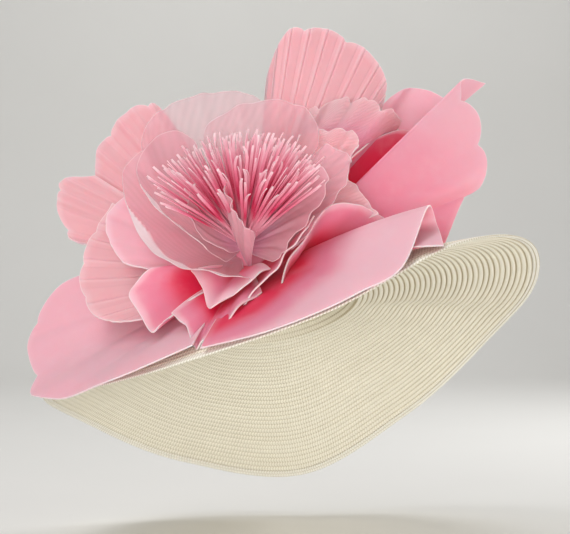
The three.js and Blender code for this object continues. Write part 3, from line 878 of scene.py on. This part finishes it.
def crown_line(depth):
    """The crown's outer profile at lengths from its skirt: inward step, height and scale."""
    lean = math.radians(LEAN)
    wall = (WALL + SKIRT) / math.cos(lean)
    arc = SHOULDER * math.pi / 2
    inward, height, scale = np.zeros_like(depth), np.zeros_like(depth), np.ones_like(depth)
    on_wall = depth <= wall
    height[on_wall] = -SKIRT + depth[on_wall] * math.cos(lean)
    inward[on_wall] = height[on_wall] * math.tan(lean)
    on_arc = (depth > wall) & (depth <= wall + arc)
    angle = (depth[on_arc] - wall) / SHOULDER
    inward[on_arc] = WALL * math.tan(lean) + SHOULDER * (1 - np.cos(angle))
    height[on_arc] = WALL + SHOULDER * np.sin(angle)
    on_dome = depth > wall + arc
    brow = WALL * math.tan(lean) + SHOULDER
    span = (HALF_WIDTH + HALF_DEPTH) / 2 - brow
    scale[on_dome] = 1 - (depth[on_dome] - wall - arc) / span
    inward[on_dome] = brow
    height[on_dome] = WALL + SHOULDER + DOME * (1 - scale[on_dome] ** 2)
    return inward, height, scale, wall + arc + span


def make_crown():
    looks = bpy.context.scene.hat_straw
    total = crown_line(np.zeros(1))[3]
    count = round(total / 0.006)
    pitch = total / count
    depths = row_samples(count, pitch)
    depths[-1] -= 0.0008
    inward, height, scale, _ = crown_line(depths)
    around = 180
    bearings = bearings_of(around)
    points = np.stack(
        (np.outer((HALF_WIDTH - inward) * scale, np.cos(bearings)),
         np.outer((HALF_DEPTH - inward) * scale, np.sin(bearings)),
         np.repeat(height[:, None], around, 1)), -1
    )
    relief = row_relief(depths, pitch, looks.relief)[:, None]
    placed = from_hat(points)
    vertices, quads, places = skin(placed, 0.0016, relief * 0.6, ring=True)
    uv = row_uv(places, around, depths)
    narrowing = -math.tau * pitch * 0.45
    material = straw_material("straw_crown", pitch, OPENING_GIRTH, narrowing, 0.012)
    add_piece("straw_crown", vertices, quads, material, "crown", uv=uv, sharp=80)


def brim_tree():
    """The finished brim's faces, ready for rays."""
    brim = bpy.data.objects["straw_brim"].data
    return BVHTree.FromPolygons(
        [vertex.co for vertex in brim.vertices], [face.vertices for face in brim.polygons]
    )


def lay_on_brim(brim, points, clear):
    """Lifts the points that are in the brim or just under it until they lie on it."""
    down, reach = Vector((0, 0, -1)), 0.06
    laid = points.reshape(-1, 3).copy()
    for point in laid:
        place = brim.ray_cast(Vector(point) + Vector((0, 0, reach)), down, reach + clear)[0]
        if place is not None:
            point[2] = place.z + clear
    return laid.reshape(points.shape)


def make_core():
    """The turned foam core under the petals, with a softly uneven skin."""
    around = 64
    knots = np.stack((CORE_RADIUS, CORE_RISE, np.zeros(len(CORE_RISE))), -1)
    line = spline(knots, np.linspace(0, 1, 40))
    angle = bearings_of(around)
    wobble = 1 + 0.012 * np.sin(3 * angle)[None, :] * np.cos(40 * line[:, 1])[:, None]
    radius = line[:, 0][:, None] * wobble
    height = np.repeat(line[:, 1][:, None], around, 1)
    rings = np.stack((radius * np.cos(angle), radius * np.sin(angle), height), -1)
    vertices = lay_on_brim(brim_tree(), from_flower(rings.reshape(-1, 3)), GAP)
    places = cells(grid_places(len(line), around + 1), True)
    quads = (places[:, :, 0] * around + places[:, :, 1] % around).tolist()
    quads.append(tuple(range(around))[::-1])
    quads.append(tuple(range((len(line) - 1) * around, len(line) * around)))
    add_piece("core", vertices, quads, core_material(), "flower_core")


def waves_of(count, place, rng):
    """Uneven waves round zero: a main wave and a finer one, with chance starts."""
    first, second = rng.uniform(0, math.tau, 2)
    wave = np.sin(math.tau * count * place + first)
    return (wave + 0.5 * np.sin(math.tau * 1.7 * count * place + second)) / 1.5


def petal_sheet(petal, rows, cols, seed):
    """A petal's middle surface in the flower's frame, and values for its material."""
    rng = np.random.default_rng(seed)
    # The rows lie closer together towards the free edge.
    u = (1 - (1 - np.linspace(0, 1, rows + 1)) ** 1.25)[:, None]
    v = np.linspace(0, 1, cols + 1)
    stations = station(petal.clock, petal.reach, petal.rise)
    edge, root = spline(stations, v), station(*petal.root)
    side = unit(edge[-1] - edge[0])
    centre = spline(stations, np.array((0.5,)))[0]
    lift = unit(np.cross(centre - root, side))
    start = root + np.outer(ROOT_HALF * MM * (2 * v - 1), side)
    length = 1 + petal.jag * waves_of(1.4 * petal.waves, v, rng)
    for place in petal.notches:
        length = length - petal.notch * np.exp(-np.abs(v - place) / NOTCH_SPREAD)
    if petal.kind == "organza":
        # The corners of the cloth are rounded off.
        length = length - 0.16 * np.abs(2 * v - 1) ** 8
    share = u * length
    points = start * (1 - share[:, :, None]) + edge * share[:, :, None]
    height = 4 * petal.belly * share * (1 - share)
    crease = np.zeros_like(share)
    if petal.ribs:
        place = petal.ribs * (v + 0.012 * waves_of(2.2, v, rng))
        phase = (place + 0.5) % 1.0 - 0.5
        groove = np.exp(-((phase / 0.05) ** 2))
        lip = np.exp(-(((phase - 0.13) / 0.06) ** 2))
        fine = 0.4 * np.exp(-((((place + 0.12) % 1.0 - 0.5) / 0.05) ** 2))
        ridge = petal.crisp * (0.5 * lip - groove - fine)
        ridge = ridge + (1 - 0.8 * petal.crisp) * np.cos(math.tau * place)
        height = height + RIB_HEIGHT * share**0.7 * ridge
        # Painted shade along the rib grooves and fine lines, and a painted highlight along the
        # lips.
        crease = petal.crisp * share**0.4 * (groove + fine - 0.8 * lip)
    height = height + petal.ruffle * share**3 * waves_of(petal.waves, v, rng)
    drift = 0.06 * np.sin(math.pi * share + rng.uniform(0, math.tau))
    # Folds die away at the sides, which stay where the chart has them.
    calm = np.clip(np.minimum(v, 1 - v) / 0.25, 0, 1)
    height = height + petal.fold * calm * share * waves_of(petal.folds, v + drift, rng)
    points = points + lift * (height * MM)[:, :, None]
    steps = np.linalg.norm(np.diff(points, axis=1), axis=2)
    along = np.concatenate((np.zeros((rows + 1, 1)), np.cumsum(steps, axis=1)), axis=1)
    rays = np.linalg.norm(np.diff(points, axis=0), axis=2)
    ray = np.concatenate((np.zeros((1, cols + 1)), np.cumsum(rays, axis=0)), axis=0)
    near = np.minimum(ray[-1:] - ray, np.minimum(along, along[:, -1:] - along))
    hem = np.zeros_like(near)
    if petal.hem:
        first, last = petal.hem
        window = np.clip((v - first) / 0.08, 0, 1) * np.clip((last - v) / 0.08, 0, 1)
        wide = (16 + 3 * np.sin(7 * v + 1)) * MM * window
        hem = np.clip((wide - (ray[-1:] - ray)) / (0.8 * MM) + 0.5, 0, 1) * (window > 0)
    # The deep pink is partly the foam's own dye and partly painted shade: each petal's reach
    # deepens the pink in its valleys, folds and the gaps between petals.
    reached = np.interp(v, np.linspace(0, 1, len(petal.flush)), petal.flush)
    tone = 0.5 + (share - reached) / petal.fade
    return {
        "points": points, "out": share, "edge": near, "along": along, "ray": ray, "hem": hem,
        "tone": tone, "crease": crease,
    }


def sheet_area(points):
    a, b = points[1:, 1:] - points[:-1, :-1], points[1:, :-1] - points[:-1, 1:]
    return float(np.linalg.norm(np.cross(a, b), axis=2).sum() / 2)


def make_petals(kind, material_of, thick, cols):
    """Every petal of one kind, each a closed skin round its sheet."""
    brim = brim_tree()
    for number, (name, petal) in enumerate(PETALS.items()):
        if petal.kind != kind:
            continue
        sheet = petal_sheet(petal, SHEET_ROWS, petal.ribs * RIB_COLUMNS or cols, number)
        laid = lay_on_brim(brim, from_flower(sheet["points"]), thick / 2 + GAP)
        vertices, quads, _ = skin(laid, thick / 2, thick / 2)
        values = {key: np.tile(sheet[key].ravel(), 2) for key in SHEET_VALUES}
        piece = add_piece(
            name + "_petal", vertices, quads, material_of(name), name, values
        )
        if kind == "organza":
            width, length = float(sheet["along"][-1, -1]), float(sheet["ray"][-1].mean())
            area = min(sheet_area(sheet["points"]), width * length)


def make_stamens():
    """Strips that rise from the core, spread by the golden angle in a bunch that is wider than
    it is high, leans up and bends outward."""
    looks = bpy.context.scene.hat_stamens
    rng = np.random.default_rng(7)
    golden = math.pi * (3 - math.sqrt(5))
    seat = CORE_RISE[-1] + GAP
    t = np.array((0, 0.15, 0.3, 0.45, 0.6, 0.75, 0.88, 0.94, 0.97, 1.0))
    steps = len(t)
    hook = (np.clip(t - 0.86, 0, 1) / 0.14) ** 2
    vertices, quads, out, strip = [], [], [], []
    for i in range(looks.count):
        share = (i + 0.5) / looks.count
        opened = math.radians(4 + BUNCH_OPENING * math.sqrt(share))
        angle = i * golden
        outward = np.array((math.cos(angle), math.sin(angle), 0.0))
        heading = math.sin(opened) * outward[:2] * BUNCH_SPREAD + BUNCH_LEAN
        heading = unit(np.append(heading + rng.normal(0, 0.03, 2), math.cos(opened)))
        across = unit(np.cross(heading, outward))
        face = unit(np.cross(heading, across))
        length = looks.length * rng.uniform(0.9, 1.03)
        bend = 0.009 * rng.uniform(0.5, 1.3)
        line = np.outer(length * (0.06 + 0.94 * t), heading) + np.outer(bend * t * t, outward)
        line = line + np.outer(hook * rng.normal(0, 0.0025), across) + np.array((0, 0, seat))
        curl = rng.uniform(-0.5, 0.5) + np.outer(t, rng.uniform(-0.9, 0.9))[:, 0]
        flat = across * np.cos(curl)[:, None] + face * np.sin(curl)[:, None]
        thin = face * np.cos(curl)[:, None] - across * np.sin(curl)[:, None]
        half = looks.width / 2 * (1 - 0.25 * hook)[:, None]
        corners = [
            line + flat * half * a + thin * looks.thick / 2 * b
            for a, b in ((-1, -1), (1, -1), (1, 1), (-1, 1))
        ]
        first = len(vertices) * 4 * steps
        vertices.append(np.stack(corners, 1).reshape(-1, 3))
        for s in range(steps - 1):
            for c in range(4):
                a, b = first + s * 4 + c, first + s * 4 + (c + 1) % 4
                quads.append((a, b, b + 4, a + 4))
        quads.append((first + 3, first + 2, first + 1, first))
        end = first + (steps - 1) * 4
        quads.append((end, end + 1, end + 2, end + 3))
        out.append(np.repeat(t, 4))
        strip.append(np.full(4 * steps, float(i)))
    placed = from_flower(np.concatenate(vertices))
    values = {"out": np.concatenate(out), "strip": np.concatenate(strip)}
    add_piece("stamen_strips", placed, quads, stamen_material(), "stamens", values)


def add_light(name, place, target, size, power):
    """A square soft light that faces a point."""
    lamp = bpy.data.lights.new(name, "AREA")
    lamp.size = size
    lamp.energy = power
    light = add_object(name, lamp)
    light.location = place
    facing = np.array(target) - np.array(place)
    light.rotation_mode = "QUATERNION"
    light.rotation_quaternion = Vector(facing).to_track_quat("-Z", "Y")


def make_stage():
    """A pale floor that curves up behind the hat, soft lights and the camera."""
    looks = bpy.context.scene.hat_stage
    floor_at = looks.floor_height
    half, back, bend = 6.0, 2.2, 0.9
    profile = [(-6.0, floor_at)]
    for angle in np.linspace(0, math.pi / 2, 16):
        profile.append((back + bend * math.sin(angle), floor_at + bend * (1 - math.cos(angle))))
    profile.append((back + bend, 5.0))
    vertices = [(x, y, z) for y, z in profile for x in (-half, half)]
    quads = [(2 * i, 2 * i + 1, 2 * i + 3, 2 * i + 2) for i in range(len(profile) - 1)]
    mesh = bpy.data.meshes.new("floor")
    mesh.from_pydata(vertices, [], quads)
    mesh.shade_smooth()
    graph = Graph("floor")
    pale = tuple(looks.floor)
    paler = tuple(min(1.0, c * 1.04) for c in pale)
    graph.set(base_color=graph.mix(graph.noise(3.0), pale, paler), roughness=0.8)
    mesh.materials.append(graph.material)
    add_object("floor", mesh)

    middle = (0.0, -0.05, 0.05)
    add_light("key", (-1.1, -1.6, 1.1), middle, 0.9, looks.key)
    add_light("fill", (-0.15, -2.0, -0.1), middle, 0.8, looks.fill)
    add_light("side", (1.3, -1.3, -0.05), middle, 0.35, looks.key * 0.8)
    add_light("top", (-0.9, -0.6, 1.9), middle, 0.9, looks.key * 1.25)
    add_light("rim", (1.5, 1.0, 0.7), middle, 0.4, looks.key * 1.5)
    add_light("backdrop", (0.0, 0.9, 2.4), (0.0, 2.8, 0.0), 1.6, looks.backdrop)
    world = bpy.data.worlds.new("room")
    world.use_nodes = True
    backdrop = world.node_tree.nodes["Background"]
    backdrop.inputs["Color"].default_value = (1.0, 0.99, 0.97, 1.0)
    backdrop.inputs["Strength"].default_value = looks.sky
    bpy.context.scene.world = world

    lens = bpy.data.cameras.new("camera")
    lens.lens = looks.lens
    lens.sensor_width = 36.0
    camera = add_object("camera", lens)
    camera.location = (-0.0015, -looks.distance, 0.0518)
    camera.rotation_euler = (math.pi / 2, 0, 0)
    bpy.context.scene.camera = camera
    bpy.context.scene.view_settings.view_transform = "Standard"


class HAT_OT_brim(bpy.types.Operator):
    """Sew the drooping brim in rows of straw braid"""

    bl_idname = "hat.brim"
    bl_label = "Brim"

    def execute(self, context):
        make_brim()
        return {"FINISHED"}


class HAT_OT_rim_band(bpy.types.Operator):
    """Bind the rim with a paler double row of braid"""

    bl_idname = "hat.rim_band"
    bl_label = "Rim band"

    def execute(self, context):
        make_rim_band()
        return {"FINISHED"}


class HAT_OT_crown(bpy.types.Operator):
    """Sew the round crown in rows of straw braid"""

    bl_idname = "hat.crown"
    bl_label = "Crown"

    def execute(self, context):
        make_crown()
        return {"FINISHED"}


class HAT_OT_core(bpy.types.Operator):
    """Make the foam core that the petals are rooted in"""

    bl_idname = "hat.core"
    bl_label = "Core"

    def execute(self, context):
        make_core()
        return {"FINISHED"}


class HAT_OT_smooth_petals(bpy.types.Operator):
    """Make the large smooth foam petals"""

    bl_idname = "hat.smooth_petals"
    bl_label = "Smooth petals"

    def execute(self, context):
        looks = context.scene.hat_petals
        foam = foam_material("smooth_foam", *colours(looks, "tip", "middle", "root"), 0.2)
        make_petals("smooth", lambda name: foam, looks.foam, COLUMNS)
        return {"FINISHED"}


class HAT_OT_ribbed_petals(bpy.types.Operator):
    """Make the foam petals with pressed ribs"""

    bl_idname = "hat.ribbed_petals"
    bl_label = "Ribbed petals"

    def execute(self, context):
        looks = context.scene.hat_petals
        foam = foam_material("ribbed_foam", *colours(looks, "ribbed_tip", "tip", "middle"), 0.5)
        make_petals("ribbed", lambda name: foam, looks.foam, COLUMNS)
        return {"FINISHED"}


class HAT_OT_pink_petals(bpy.types.Operator):
    """Make the deep pink crimped, cupped and ruffled foam petals"""

    bl_idname = "hat.pink_petals"
    bl_label = "Pink petals"

    def execute(self, context):
        looks = context.scene.hat_petals
        plain = foam_material("pink_foam", *colours(looks, "tip", "middle", "root"), 0.6)
        crimped = foam_material(
            "crimped_foam", *colours(looks, "ribbed_tip", "middle", "root"), 0.3, crimp=260.0
        )
        make_petals(
            "pink", lambda name: crimped if "crepe" in name else plain, looks.foam, PINK_COLUMNS
        )
        return {"FINISHED"}


class HAT_OT_organza_petals(bpy.types.Operator):
    """Make the sheer organza petals"""

    bl_idname = "hat.organza_petals"
    bl_label = "Organza petals"

    def execute(self, context):
        looks = context.scene.hat_petals
        cloth = organza_material("organza", tuple(looks.tip), 0.38)
        sheerest = organza_material("organza_sheer", tuple(looks.tip), 0.2)
        veil = organza_material("organza_veil", tuple(looks.heart), 0.58)
        kinds = {"organza_top": sheerest, "organza_inner_top": sheerest}
        make_petals(
            "organza", lambda name: veil if "veil" in name else kinds.get(name, cloth),
            looks.organza, COLUMNS,
        )
        return {"FINISHED"}


class HAT_OT_stamens(bpy.types.Operator):
    """Make the bundle of thin stamens"""

    bl_idname = "hat.stamens"
    bl_label = "Stamens"

    def execute(self, context):
        make_stamens()
        return {"FINISHED"}


class HAT_OT_stage(bpy.types.Operator):
    """Set up the pale floor, the soft lights and the camera"""

    bl_idname = "hat.stage"
    bl_label = "Stage"

    def execute(self, context):
        make_stage()
        return {"FINISHED"}


class HAT_PT_panel(bpy.types.Panel):
    """Lists what builds the hat, and its settings."""

    bl_label = "Race day hat"
    bl_idname = "HAT_PT_panel"
    bl_space_type = "VIEW_3D"
    bl_region_type = "UI"
    bl_category = "Race day hat"

    def draw(self, context):
        for operator in OPERATORS:
            self.layout.operator(operator.bl_idname)
        for name, group in SETTINGS.items():
            box = self.layout.box()
            for key in group.__annotations__:
                box.prop(getattr(context.scene, name), key)


OPERATORS = (
    HAT_OT_stage,
    HAT_OT_brim,
    HAT_OT_rim_band,
    HAT_OT_crown,
    HAT_OT_core,
    HAT_OT_smooth_petals,
    HAT_OT_ribbed_petals,
    HAT_OT_pink_petals,
    HAT_OT_organza_petals,
    HAT_OT_stamens,
)
SETTINGS = {
    "hat_straw": StrawSettings,
    "hat_petals": PetalSettings,
    "hat_stamens": StamenSettings,
    "hat_stage": StageSettings,
}


def register():
    for group in (*SETTINGS.values(), *OPERATORS, HAT_PT_panel):
        bpy.utils.register_class(group)
    for name, group in SETTINGS.items():
        setattr(bpy.types.Scene, name, PointerProperty(type=group))


def unregister():
    for name in SETTINGS:
        delattr(bpy.types.Scene, name)
    for group in (HAT_PT_panel, *reversed(OPERATORS), *SETTINGS.values()):
        bpy.utils.unregister_class(group)


def main():
    register()
    for operator in OPERATORS:
        family, name = operator.bl_idname.split(".")
        getattr(getattr(bpy.ops, family), name)()


if __name__ == "__main__":
    main()
